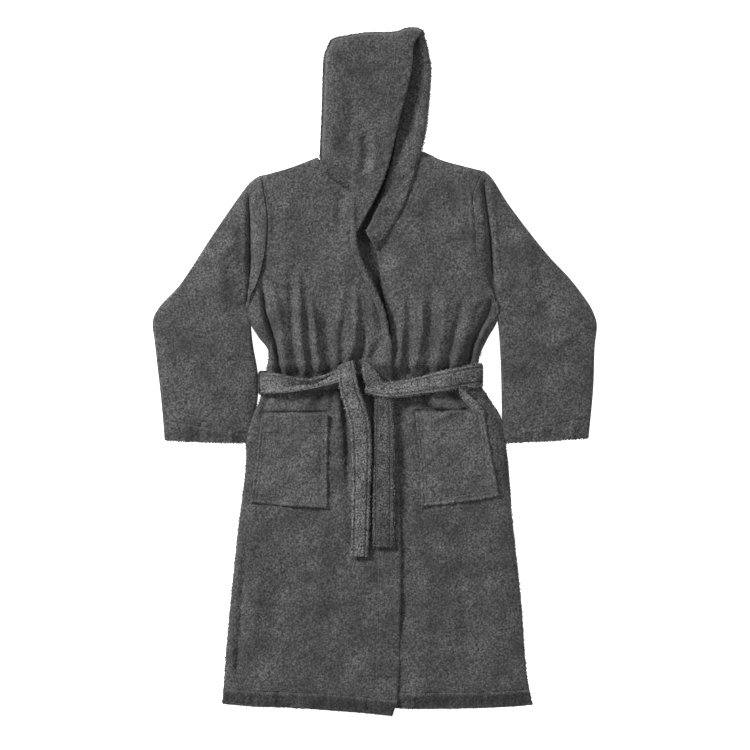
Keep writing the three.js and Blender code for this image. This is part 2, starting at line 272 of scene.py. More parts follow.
def patch(foot, head, left, right, us, vs):
    b, t = along(foot, us)[None], along(head, us)[None]
    l, r = along(left, vs)[:, None], along(right, vs)[:, None]
    u, v = us[None, :, None], vs[:, None, None]
    corners = (1 - u) * (1 - v) * b[:, :1] + u * (1 - v) * b[:, -1:]
    corners = corners + (1 - u) * v * t[:, :1] + u * v * t[:, -1:]
    grid = (1 - v) * b + v * t + (1 - u) * l + u * r - corners
    return grid, grid[..., 0], grid[..., 1]


def unit(vectors):
    return vectors / np.maximum(np.linalg.norm(vectors, axis=-1, keepdims=True), 1e-12)


def grid_normals(p):
    return unit(np.cross(np.gradient(p, axis=1), np.gradient(p, axis=0)))


def shell(name, top, material, body=None, painted_shade=None):
    rows, columns = top.shape[:2]
    under = top - grid_normals(top) * CLOTH
    ring = np.concatenate([
        np.arange(columns), columns * np.arange(1, rows) + columns - 1,
        columns * rows - 1 - np.arange(1, columns), columns * np.arange(rows - 2, 0, -1)])
    flat_top, flat_under = top.reshape(-1, 3), under.reshape(-1, 3)
    edge_top, edge_under = flat_top[ring], flat_under[ring]
    run = np.roll(edge_top, -1, axis=0) - np.roll(edge_top, 1, axis=0)
    wall = edge_top - edge_under
    roundness = np.linalg.norm(wall, axis=1, keepdims=True) * RIM_ROUND
    rim = (edge_top + edge_under) / 2 + unit(np.cross(run, wall)) * roundness
    points = np.vstack([flat_top, flat_under, rim])
    count = rows * columns
    i = (np.arange(rows - 1)[:, None] * columns + np.arange(columns - 1)[None]).ravel()
    faces = np.stack([i, i + 1, i + 1 + columns, i + columns], axis=1)
    lower = faces[:, ::-1] + count
    j = np.arange(len(ring))
    k = np.roll(j, -1)
    high_rim = np.stack([ring[k], ring[j], 2 * count + j, 2 * count + k], axis=1)
    low_rim = np.stack([2 * count + k, 2 * count + j, ring[j] + count, ring[k] + count], axis=1)
    # Per-point amounts of painted shade, copied onto the underside and the rim.
    flat = np.zeros(count) if painted_shade is None else np.asarray(painted_shade, float).ravel()
    painted_shade = np.concatenate([flat, flat, flat[ring]])
    faces = np.vstack([faces, lower, high_rim, low_rim]).tolist()
    return cloth_mesh(name, points, faces, material, body, painted_shade)


def cloth_mesh(name, points, faces, material, body=None, painted_shade=None):
    points[:, 2] = np.maximum(points[:, 2], OFF_TABLE)
    mesh = bpy.data.meshes.new(name)
    mesh.from_pydata(points.tolist(), [], faces)
    mesh.shade_smooth()
    place = mesh.attributes.new("cloth_place", "FLOAT_VECTOR", "POINT")
    place.data.foreach_set("vector", points.astype(np.float32).ravel())
    if painted_shade is not None:
        painted_shade_amount = mesh.attributes.new("painted_shade", "FLOAT", "POINT")
        painted_shade_amount.data.foreach_set("value", np.asarray(painted_shade, np.float32))
    mesh.materials.append(material)
    piece = add_object(name, mesh)
    if body:
        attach(piece, body)
    return piece


def hump(distance, width):
    return np.exp(-(distance / width) ** 2)


def bulge(distance, radius):
    share = np.clip(distance / radius, 0, 1)
    return np.sqrt(np.maximum(1 - (1 - share) ** 2, 0))


def ease(value, start, end):
    share = np.clip((value - start) / (end - start), 0, 1)
    return share * share * (3 - 2 * share)


def over_belt(y):
    return BELT_BELOW * ease(y, -0.062, -0.044) * (1 - ease(y, 0.012, 0.030))


chance = np.random.default_rng(41)
swells = [
    (chance.uniform(0, math.tau), chance.uniform(shortest, longest), chance.uniform(0, math.tau), rise)
    for number, shortest, longest, rise in ((9, 0.055, 0.16, 0.55), (14, 0.014, 0.03, 0.10))
    for _ in range(number)]


def uneven(x, y):
    total = 0
    for turn, wavelength, phase, rise in swells:
        across = x * math.cos(turn) + y * math.sin(turn)
        total = total + rise * np.sin(across * math.tau / wavelength + phase)
    return total * MM


back_foot = smooth_line([(-326, -722), (-180, -727), (0, -728), (180, -727), (332, -722)])
back_head = smooth_line([(-236, 420), (-112, 466), (0, 474), (112, 466), (232, 424)])
back_left = smooth_line([
    (-326, -722), (-312, -558), (-293, -358), (-275, -200), (-264, -110), (-240, -54), (-228, 3),
    (-226, 45), (-252, 82), (-270, 122), (-256, 200), (-242, 276), (-238, 349), (-236, 420)])
back_right = smooth_line([
    (332, -722), (311, -492), (293, -322), (276, -148), (262, -100), (240, -50), (222, -20),
    (220, 25), (240, 72), (262, 118), (244, 200), (226, 276), (222, 349), (232, 424)])
grid, x, y = patch(back_foot, back_head, back_left, back_right, spaced(0.62, 0.006), spaced(1.2, 0.006))
height = CLOTH + 0.2 * MM + over_belt(y)
back_top = np.dstack([grid, height])
back = shell("back_panel_terry", back_top, robe_terry, "robe")
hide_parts("back_panel")

# Left front: the under front, cut in one from the shoulder to the hem and puffed by the air inside.
# It is drawn into folds above and below the tied belt, and has a wide turned hem.


def near_path(x, y, points):
    p = np.array(points, float) * MM
    best = np.full(x.shape, 9.0)
    reach = np.zeros(x.shape)
    lengths = np.linalg.norm(np.diff(p, axis=0), axis=1)
    starts = np.concatenate([[0], np.cumsum(lengths)])
    for a, b, length, start in zip(p, p[1:], lengths, starts):
        t = ((x - a[0]) * (b[0] - a[0]) + (y - a[1]) * (b[1] - a[1])) / length ** 2
        t = np.clip(t, 0, 1)
        gap = np.hypot(x - a[0] - t * (b[0] - a[0]), y - a[1] - t * (b[1] - a[1]))
        closer = gap < best
        best = np.where(closer, gap, best)
        reach = np.where(closer, (start + t * length) / starts[-1], reach)
    return best, reach


FOLD_STRENGTH = 1.8
ON_BACK = 8.4 * MM


def folds(x, y, lines):
    total = np.zeros(x.shape)
    for rise, width, fade_in, fade_out, points in lines:
        gap, reach = near_path(x, y, points)
        ends = ease(reach, 0, fade_in)
        if fade_out:
            ends = ends * (1 - ease(reach, 1 - fade_out, 1))
        total += FOLD_STRENGTH * rise * MM * hump(gap, width * MM) * ends
    return total


side_of_body = smooth_line([
    (-735, 338), (-558, 322), (-358, 302), (-221, 285), (-155, 283), (-95, 265), (-50, 246), (3, 236),
    (45, 234), (78, 258), (122, 280), (200, 292), (300, 300), (480, 305)])[0]


def belt_line(x):
    across = [-257, -206, -151, -92, -46, 14, 69, 141, 225]
    return MM * np.interp(x / MM, across, [-2, -10, -20, -8, 8, -19, -19, -5, 14])


def belt_room(x, y):
    return over_belt(y) * (0.3 + 0.7 * ease(np.abs(x), 0.150, 0.195))


def body_height(x, y):
    side = np.interp(y, side_of_body[:, 0], side_of_body[:, 1])
    wide = np.abs(x)
    above = y - belt_line(x)
    rounded = np.interp(above / MM, [-6, 0, 8, 16, 24, 34, 46], [0, 0.03, 0.24, 0.54, 0.80, 0.96, 1])
    shoulder = 0.472 - np.maximum(wide - 0.118, 0) * 0.31
    puff = MM * np.interp(
        y, [-0.75, -0.60, -0.30, -0.10, -0.065, -0.03, 0.015, 0.035, 0.06, 0.09, 0.15, 0.25, 0.40, 0.48],
        [7, 9, 12, 13, 8, 5, 19, 20, 20.5, 20.5, 19.5, 17, 15, 12])
    puff = np.where(y > -0.03, 4.6 * MM + np.maximum(puff - 4.6 * MM, 0) * rounded, puff)
    open_neck = 1 - ease(wide, 0.09, 0.13)
    tuck = np.maximum(bulge(shoulder + 0.006 - y, 0.034), open_neck)
    middle = 3.5 * MM * hump(x, 0.10) * (1 - ease(y, 0.25, 0.40))
    return ON_BACK + belt_room(x, y) + puff * bulge(side + 0.002 - wide, 0.036) * tuck + middle


edge_points = [
    (38, -755), (50, -700), (54, -558), (56, -424), (50, -221), (40, -60), (36, 3), (36, 54), (31, 84),
    (22, 130), (4, 176), (-19, 223), (-36, 268), (-41, 305)]
front_edge = smooth_line(edge_points)
left_creases = [
    (-7.0, 6, 0.25, 0, [(262, 170), (244, 120), (214, 60), (204, 8)]),
    (3.0, 10, 0.3, 0, [(252, 120), (236, 84), (218, 20)]),
    (3.4, 12, 0.3, 0, [(228, 190), (206, 110), (184, 40), (176, 6)]),
    (-4.6, 8, 0.35, 0, [(196, 170), (178, 90), (162, 30), (154, 2)]),
    (3.6, 11, 0.35, 0, [(150, 190), (152, 110), (140, 40), (136, 0)]),
    (-3.0, 9, 0.4, 0, [(124, 210), (122, 110), (116, 0)]),
    (3.4, 8, 0.3, 0, [(104, 170), (102, 90), (92, 20)]),
    (-5.0, 9, 0.4, 0, [(74, 190), (76, 90), (72, 0)]),
    (3.0, 6, 0.3, 0, [(58, 110), (58, 60), (56, 16)]),
    (-3.0, 7, 0.0001, 0.6, [(70, -40), (74, -90), (78, -190)]),
    (3.6, 8, 0.0001, 0.5, [(74, -50), (76, -80), (80, -160)]),
    (-6.5, 6, 0.0001, 0.4, [(98, -50), (112, -76), (134, -88), (166, -92)]),
    (4.6, 9, 0.1, 0.3, [(118, -50), (140, -70), (166, -84), (204, -90)]),
    (-6.5, 8, 0.0001, 0.3, [(162, -44), (190, -66), (224, -86)]),
    (2.4, 9, 0.2, 0.5, [(222, -56), (246, -90), (262, -150)]),
    (2.2, 12, 0.5, 0.5, [(96, -330), (116, -480), (120, -640)]),
    (-1.8, 14, 0.5, 0.5, [(170, -330), (196, -520), (206, -690)]),
    (2.0, 16, 0.5, 0.5, [(236, -340), (262, -520), (278, -700)]),
    (-2.6, 3.2, 0.08, 0.08, [(86, -86), (160, -85), (242, -82)]),
    (-3.2, 4.5, 0.1, 0.6, [(112, 482), (128, 458), (146, 420)]),
    (2.2, 12, 0.4, 0.5, [(176, 440), (196, 380), (204, 300)]),
    (-2.0, 16, 0.4, 0.5, [(110, 380), (128, 310), (138, 230)]),
    (1.0, 3.5, 0.1, 0.1, [(206, 410), (212, 330), (211, 255)]),
]
open_edge = smooth_line([(36, -20), (36, 84), (30, 120), (20, 166), (12, 221), (6, 267), (2, 310)])


def settle(height, x, y):
    floor = ON_BACK + belt_room(x, y)
    soft = 3 * MM
    above = height - floor
    return floor + np.where(above > soft, above, soft * np.exp(np.minimum(above - soft, 0) / soft))


def x_at(line, y):
    return np.interp(y, line[0][:, 1], line[0][:, 0])


def y_at(line, x):
    return np.interp(x, line[0][:, 0], line[0][:, 1])


def left_front_height(x, y):
    tucked = 5.2 * MM * (1 - ease(x - x_at(front_edge, y), 0.004, 0.045)) * (1 - ease(y, 0.04, 0.09))
    sunk = 14 * MM * (1 - ease(x - x_at(open_edge, y), 0.0, 0.044))
    tucked = tucked + sunk * ease(y, 0.02, 0.10) * (1 - ease(y, 0.26, 0.30))
    return settle(body_height(x, y) + folds(x, y, left_creases) + uneven(x, y) - tucked, x, y)


HEM_DEEP = 0.034


def puckers(run):
    total = 0
    waves = ((0.9, 0.047, 0.4), (0.8, 0.031, 2.1), (0.5, 0.0193, 4.0), (0.4, 0.0127, 1.2))
    for rise, wavelength, phase in waves:
        total = total + rise * MM * np.sin(math.tau * run / wavelength + phase + 1.3 * np.sin(run * 23))
    return total


def hem_groove(distance, run, deep=HEM_DEEP):
    groove = -2.4 * MM * hump(distance - deep, 0.0022)
    band = 1 - ease(distance, deep, deep + 0.004)
    fall = 5.0 * MM * (1 - ease(distance, 0, 0.9 * deep))
    return groove + 0.9 * MM * band - fall + puckers(run) * band * ease(distance, 0, 0.012)


# Painted shade on the turned hem band, varying along the hem with the pucker waves.
def painted_shade_hem(distance, run):
    pucker_shade = np.clip(0.72 + 160 * puckers(run + 0.01), 0.25, 1)
    return (1 - ease(distance, HEM_DEEP - 0.010, HEM_DEEP + 0.003)) * pucker_shade


# Painted shade on the gathered cloth just above the belt, fading out 42 mm above it and towards the sides.
def shade_above_belt(x, y):
    above = (y - belt_line(x)) / MM
    painted_shade_amount = 0.72 * np.interp(above, [-10, 0, 12, 24, 42], [0, 1, 0.95, 0.5, 0])
    return painted_shade_amount * (1 - ease(np.abs(x), 0.200, 0.240))


stitch_row, row_in, row_out = new_group(
    "stitch_row", "GeometryNodeTree",
    [("Geometry", "Geometry", None), ("Spacing", "Float", 0.0044), ("Stitch Length", "Float", 0.0034),
     ("Thread Thickness", "Float", 0.0011), ("Thread", "Material", None)],
    [("Geometry", "Geometry")])
row_curve = add_node(stitch_row, "GeometryNodeMeshToCurve")
row_points = add_node(stitch_row, "GeometryNodeCurveToPoints", mode="LENGTH")
one_stitch = add_node(stitch_row, "GeometryNodeMeshUVSphere", {"Segments": 6, "Rings": 4, "Radius": 0.5})
stitch_turn = add_node(stitch_row, "FunctionNodeAlignRotationToVector", axis="X")
stitch_size = add_node(stitch_row, "ShaderNodeCombineXYZ")
row_copies = add_node(stitch_row, "GeometryNodeInstanceOnPoints")
row_real = add_node(stitch_row, "GeometryNodeRealizeInstances")
row_paint = add_node(stitch_row, "GeometryNodeSetMaterial")
wire(
    stitch_row,
    (row_in, "Geometry", row_curve, "Mesh"),
    (row_curve, "Curve", row_points, "Curve"),
    (row_in, "Spacing", row_points, "Length"),
    (row_points, "Tangent", stitch_turn, "Vector"),
    (row_in, "Stitch Length", stitch_size, "X"),
    (row_in, "Thread Thickness", stitch_size, "Y"),
    (row_in, "Thread Thickness", stitch_size, "Z"),
    (row_points, "Points", row_copies, "Points"),
    (one_stitch, "Mesh", row_copies, "Instance"),
    (stitch_turn, "Rotation", row_copies, "Rotation"),
    (stitch_size, "Vector", row_copies, "Scale"),
    (row_copies, "Instances", row_real, "Geometry"),
    (row_real, "Geometry", row_paint, "Geometry"),
    (row_in, "Thread", row_paint, "Material"),
    (row_paint, "Geometry", row_out, "Geometry"))

edge_loops, loops_in, loops_out = new_group(
    "edge_loops", "GeometryNodeTree",
    [("Geometry", "Geometry", None), ("Spacing", "Float", 0.0017), ("Loop Size", "Float", 0.0042),
     ("Scatter", "Float", 0.0018), ("Cloth", "Material", None)],
    [("Geometry", "Geometry")])


def random_vector(low, high, seed):
    node = add_node(edge_loops, "FunctionNodeRandomValue", data_type="FLOAT_VECTOR")
    set_inputs(node, {"Min": low, "Max": high, "Seed": seed})
    return node


loops_curve = add_node(edge_loops, "GeometryNodeMeshToCurve")
loops_points = add_node(edge_loops, "GeometryNodeCurveToPoints", mode="LENGTH")
loops_offset = random_vector((-1, -1, -1), (1, 1, 1), 5)
loops_reach = add_node(edge_loops, "ShaderNodeVectorMath", operation="SCALE")
loops_moved = add_node(edge_loops, "GeometryNodeSetPosition")
loops_turn = random_vector((0, 0, 0), (6.28, 6.28, 6.28), 11)
loops_euler = add_node(edge_loops, "FunctionNodeEulerToRotation")
loops_scale = random_vector((0.35, 0.35, 0.7), (0.6, 0.6, 1.2), 23)
loops_size = add_node(edge_loops, "ShaderNodeVectorMath", operation="SCALE")
one_loop = add_node(edge_loops, "GeometryNodeMeshIcoSphere", {"Radius": 0.5, "Subdivisions": 1})
loops_copies = add_node(edge_loops, "GeometryNodeInstanceOnPoints")
loops_real = add_node(edge_loops, "GeometryNodeRealizeInstances")
loops_place = add_node(
    edge_loops, "GeometryNodeStoreNamedAttribute", {"Name": "cloth_place"}, data_type="FLOAT_VECTOR",
    domain="POINT")
loops_where = add_node(edge_loops, "GeometryNodeInputPosition")
loops_paint = add_node(edge_loops, "GeometryNodeSetMaterial")
wire(
    edge_loops,
    (loops_in, "Geometry", loops_curve, "Mesh"),
    (loops_curve, "Curve", loops_points, "Curve"),
    (loops_in, "Spacing", loops_points, "Length"),
    (loops_offset, "Value", loops_reach, "Vector"),
    (loops_in, "Scatter", loops_reach, "Scale"),
    (loops_points, "Points", loops_moved, "Geometry"),
    (loops_reach, "Vector", loops_moved, "Offset"),
    (loops_turn, "Value", loops_euler, "Euler"),
    (loops_scale, "Value", loops_size, "Vector"),
    (loops_in, "Loop Size", loops_size, "Scale"),
    (loops_moved, "Geometry", loops_copies, "Points"),
    (one_loop, "Mesh", loops_copies, "Instance"),
    (loops_euler, "Rotation", loops_copies, "Rotation"),
    (loops_size, "Vector", loops_copies, "Scale"),
    (loops_copies, "Instances", loops_real, "Geometry"),
    (loops_real, "Geometry", loops_place, "Geometry"),
    (loops_where, "Position", loops_place, "Value"),
    (loops_place, "Geometry", loops_paint, "Geometry"),
    (loops_in, "Cloth", loops_paint, "Material"),
    (loops_paint, "Geometry", loops_out, "Geometry"))

sewing_thread, thread_tree, thread_shader = new_material("sewing_thread", {"Roughness": 0.7})
thread_where = add_node(thread_tree, "ShaderNodeTexCoord")
thread_twist = add_node(thread_tree, "ShaderNodeTexNoise", {"Scale": 900.0})
thread_shade = add_node(thread_tree, "ShaderNodeValToRGB")
thread_shade.color_ramp.elements[0].color = (0.05, 0.05, 0.052, 1)
thread_shade.color_ramp.elements[1].color = (0.26, 0.26, 0.265, 1)
wire(
    thread_tree,
    (thread_where, "Object", thread_twist, "Vector"),
    (thread_twist, "Fac", thread_shade, "Fac"),
    (thread_shade, "Color", thread_shader, "Base Color"))


def along_paths(name, tree, paths, values, fix):
    points, edges = [], []
    for path in paths:
        start = len(points)
        points += np.asarray(path, float).tolist()
        edges += [(start + i, start + i + 1) for i in range(len(path) - 1)]
    mesh = bpy.data.meshes.new(name + "_path")
    mesh.from_pydata(points, edges, [])
    guide = add_object(name + "_path", mesh)
    maker = guide.modifiers.new("maker", "NODES")
    maker.node_group = tree
    for item in tree.interface.items_tree:
        if item.in_out == "INPUT" and item.name in values:
            maker[item.identifier] = values[item.name]
    seen = guide.evaluated_get(bpy.context.evaluated_depsgraph_get())
    made_mesh = bpy.data.meshes.new_from_object(seen)
    made_mesh.name = name
    made_mesh.shade_smooth()
    bpy.data.objects.remove(guide)
    fix(add_object(name, made_mesh))


def on_robe(piece):
    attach(piece, "robe")


def stitches(name, paths, fix=on_robe, spacing=0.0044):
    name = name.replace("terry", "stitching")
    along_paths(name, stitch_row, paths, {"Spacing": spacing, "Thread": sewing_thread}, fix)


def pile_edge(name, paths, fix=on_robe, cloth=robe_terry, spacing=0.0017):
    name = name.replace("terry", "edge")
    paths = [np.maximum(path, [-9, -9, 3.2 * MM]) for path in paths]
    along_paths(name, edge_loops, paths, {"Spacing": spacing, "Cloth": cloth}, fix)


def on_patch(top, us, vs, u, v):
    u, v = np.broadcast_arrays(np.asarray(u, float), np.asarray(v, float))
    i = np.clip(np.searchsorted(us, u) - 1, 0, len(us) - 2)
    j = np.clip(np.searchsorted(vs, v) - 1, 0, len(vs) - 2)
    a = ((u - us[i]) / (us[i + 1] - us[i]))[:, None]
    b = ((v - vs[j]) / (vs[j + 1] - vs[j]))[:, None]
    low = top[j, i] * (1 - a) + top[j, i + 1] * a
    high = top[j + 1, i] * (1 - a) + top[j + 1, i + 1] * a
    return low * (1 - b) + high * b + [0, 0, 0.4 * MM]


def lowered(path, drop=2 * MM):
    moved = np.asarray(path) - [0, 0, drop]
    moved[:, 2] = np.maximum(moved[:, 2], 3.4 * MM)
    return moved


left_foot = smooth_line([(4, -741), (47, -739), (140, -740), (234, -738), (300, -735), (346, -732)])
left_head = smooth_line([(84, 476), (104, 482), (150, 463), (190, 452), (236, 441)])
left_inner = smooth_line([
    (4, -741), (-20, -600), (-22, -400), (-24, -200), (8, -60), (30, 0), (36, 54), (36, 84), (30, 120),
    (20, 166), (12, 221), (6, 267), (18, 330), (48, 400), (84, 476)])
left_side = smooth_line([
    (346, -732), (333, -659), (320, -492), (302, -322), (287, -150), (277, -104), (260, -74), (244, -50),
    (232, -28), (227, 21), (246, 69), (270, 116), (262, 160), (240, 206), (224, 252), (220, 320), (216, 386),
    (236, 441)])
LEFT_LONG = 1.24
FRONT_MESH = 0.0042
us, vs = spaced(0.30, FRONT_MESH), spaced(LEFT_LONG, FRONT_MESH, [(0.0, 0.045), (0.618, 0.680)])
grid, x, y = patch(left_foot, left_head, left_inner, left_side, us, vs)
from_hem = np.broadcast_to(vs[:, None] * LEFT_LONG, x.shape)
height = left_front_height(x, y) + hem_groove(from_hem, x)
left_front_top = np.dstack([grid, height])
painted_shade_amount = np.maximum(painted_shade_hem(from_hem, x), shade_above_belt(x, y))
left_front = shell("left_front_terry", left_front_top, robe_terry, "robe", painted_shade_amount)
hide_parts("left_front_panel", "left_front_facing")
seam_u = np.linspace(0.01, 0.99, 160)
stitches("left_front_terry", [on_patch(left_front_top, us, vs, seam_u, HEM_DEEP / LEFT_LONG)])
pile_edge(
    "left_front_terry",
    [lowered(left_front_top[0]), lowered(left_front_top[:int(0.70 * len(vs)), -1]),
     lowered(left_front_top[int(0.62 * len(vs)):int(0.86 * len(vs)), 0])])

# Right front: the upper front, which crosses over the left one and carries the fold lines of the tied waist.
# Its free edge is faced inside with a strip that shows as a row of stitching down the skirt.
FACING_WIDE = 0.048
right_creases = [
    (-8.5, 5.0, 0.3, 0, [(-250, 214), (-240, 130), (-218, 60), (-207, -4)]),
    (3.0, 9, 0.3, 0, [(-264, 120), (-244, 70), (-226, 0)]),
    (3.6, 8, 0.3, 0, [(-226, 200), (-206, 110), (-200, 50), (-194, 2)]),
    (-3.8, 8, 0.3, 0, [(-186, 240), (-182, 140), (-178, 60), (-170, 0)]),
    (4.4, 7, 0.3, 0, [(-166, 245), (-164, 150), (-162, 70), (-152, 0)]),
    (-3.2, 6, 0.4, 0, [(-150, 160), (-146, 80), (-138, 4)]),
    (4.6, 7, 0.35, 0, [(-144, 190), (-132, 110), (-128, 50), (-120, 6)]),
    (-5.6, 12, 0.4, 0, [(-112, 150), (-104, 80), (-100, 8)]),
    (2.6, 8, 0.4, 0.4, [(-62, 210), (-74, 140), (-84, 70)]),
    (-4.0, 8, 0.4, 0, [(-70, 130), (-72, 70), (-70, 16)]),
    (4.4, 7, 0.3, 0.0, [(-42, 210), (-40, 120), (-44, 60), (-60, 18)]),
    (-5.5, 9, 0.4, 0.1, [(-22, 110), (-26, 60), (-36, 22)]),
    (2.6, 8, 0.3, 0.3, [(-12, 170), (-2, 110), (0, 70)]),
    (-5.0, 12, 0.5, 0.1, [(14, 84), (6, 50), (-4, 22)]),
    (2.4, 9, 0.3, 0.3, [(-52, 402), (-55, 350), (-54, 300)]),
    (-2.4, 9, 0.3, 0.3, [(-72, 408), (-78, 350), (-76, 290)]),
    (-4.4, 7, 0.0001, 0.5, [(-66, -60), (-60, -140), (-58, -320)]),
    (3.0, 8, 0.0001, 0.6, [(-84, -40), (-80, -90), (-80, -150)]),
    (-3.4, 7, 0.0001, 0.4, [(-226, -46), (-240, -74), (-254, -120)]),
    (2.4, 9, 0.0001, 0.5, [(-150, -40), (-146, -66), (-146, -92)]),
    (-2.2, 7, 0.0001, 0.5, [(-126, -40), (-124, -66), (-120, -90)]),
    (2.4, 8, 0.0001, 0.5, [(-108, -40), (-104, -66), (-104, -92)]),
    (1.8, 15, 0.5, 0.5, [(-110, -330), (-126, -480), (-132, -640)]),
    (-2.6, 3.2, 0.08, 0.08, [(-252, -91), (-175, -90), (-98, -89)]),
    (-1.6, 15, 0.5, 0.5, [(-190, -330), (-214, -520), (-222, -690)]),
    (2.0, 12, 0.5, 0.5, [(-240, -340), (-262, -520), (-276, -700)]),
    (-3.4, 6, 0.4, 0.1, [(-278, -330), (-292, -500), (-305, -690)]),
    (-2.0, 2.4, 0.1, 0.1, [(-2, -671), (20, -674), (46, -677)]),
    (1.8, 14, 0.4, 0.5, [(-170, 430), (-196, 340), (-206, 250)]),
    (1.0, 3.5, 0.1, 0.1, [(-247, 410), (-229, 345), (-231, 280)]),
]


def right_front_height(x, y):
    inward = x_at(front_edge, y) - x
    edge_lift = 1.5 * MM * (1 - ease(inward, 0.0, 0.05)) * ease(y, -0.7, -0.5)
    rolled = 2.4 * MM * hump(inward - 0.004, 0.0045)
    rolled = rolled - 1.8 * MM * hump(inward - 0.014, 0.004)
    edge_lift = edge_lift + ease(y, 0.03, 0.10) * rolled
    return settle(body_height(x, y) + folds(x, y, right_creases) + uneven(x + 0.3, y + 0.1) + edge_lift, x, y)


right_foot = smooth_line([(-334, -729), (-260, -735), (-180, -738), (-46, -747), (38, -755)])
right_head = smooth_line([(-250, 430), (-226, 435), (-180, 448), (-126, 470)])
right_side = smooth_line([
    (-334, -729), (-331, -690), (-321, -558), (-301, -358), (-284, -221), (-281, -155), (-273, -107),
    (-262, -84), (-249, -54), (-238, 3), (-234, 45), (-257, 78), (-278, 120), (-266, 170), (-250, 220),
    (-240, 276), (-238, 349), (-250, 430)])
right_inner = smooth_line(edge_points + [(-46, 350), (-54, 398), (-86, 416), (-112, 440), (-126, 470)])
RIGHT_LONG = 1.27
us, vs = spaced(0.36, FRONT_MESH), spaced(RIGHT_LONG, FRONT_MESH, [(0.0, 0.045), (0.625, 0.690)])
grid, x, y = patch(right_foot, right_head, right_side, right_inner, us, vs)
from_hem = np.broadcast_to(vs[:, None] * RIGHT_LONG, x.shape)
from_edge = x_at(front_edge, y) - x
skirt = 1 - ease(y, -0.12, -0.06)
height = right_front_height(x, y) + hem_groove(from_hem, x)
height = height - 1.4 * MM * hump(from_edge - FACING_WIDE, 0.0026) * skirt
right_front_top = np.dstack([grid, height])
painted_shade_amount = np.maximum(painted_shade_hem(from_hem, x), shade_above_belt(x, y))
right_front = shell("right_front_terry", right_front_top, robe_terry, "robe", painted_shade_amount)
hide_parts("right_front_panel", "right_front_facing")


def on_right_front(x, y, lift):
    return np.stack([x, y, right_front_height(x, y) + lift], axis=1)


facing_y = np.linspace(-0.70, -0.07, 120)
cross_x = np.linspace(0.000, 0.046, 14)
chest_y = np.linspace(0.04, 0.298, 60)
stitches(
    "right_front_terry",
    [on_patch(right_front_top, us, vs, seam_u, HEM_DEEP / RIGHT_LONG),
     on_right_front(x_at(front_edge, facing_y) - FACING_WIDE, facing_y, -0.6 * MM),
     on_right_front(cross_x, -0.671 - 0.125 * cross_x, 0.4 * MM),
     on_right_front(x_at(front_edge, chest_y) - 0.0135, chest_y, 0.3 * MM)])
pile_edge(
    "right_front_terry",
    [lowered(right_front_top[0]), lowered(right_front_top[:int(0.70 * len(vs)), 0]),
     lowered(right_front_top[:int(0.84 * len(vs)), -1])])

# Sleeves: two tubes of terry, sewn into the armholes and laid down beside the body.
# Each is flattened, creased beside its armhole, and ends in a turned cuff hem.
SLEEVE_CLOTH = 3.5 * MM
SLEEVE_LONG = 0.56
UNDERSIDE = 0.6 * MM
CUFF_DEEP = 0.038
sleeve_marks = np.concatenate([np.linspace(0, 0.9, 150, endpoint=False), np.linspace(0.9, 1, 34)])


def tube_walls(steps, loop):
    i = np.arange(steps - 1)[:, None] * loop
    j, k = np.arange(loop), np.roll(np.arange(loop), -1)
    return np.stack([i + j, i + k, i + k + loop, i + j + loop], axis=-1).reshape(-1, 4), j, k


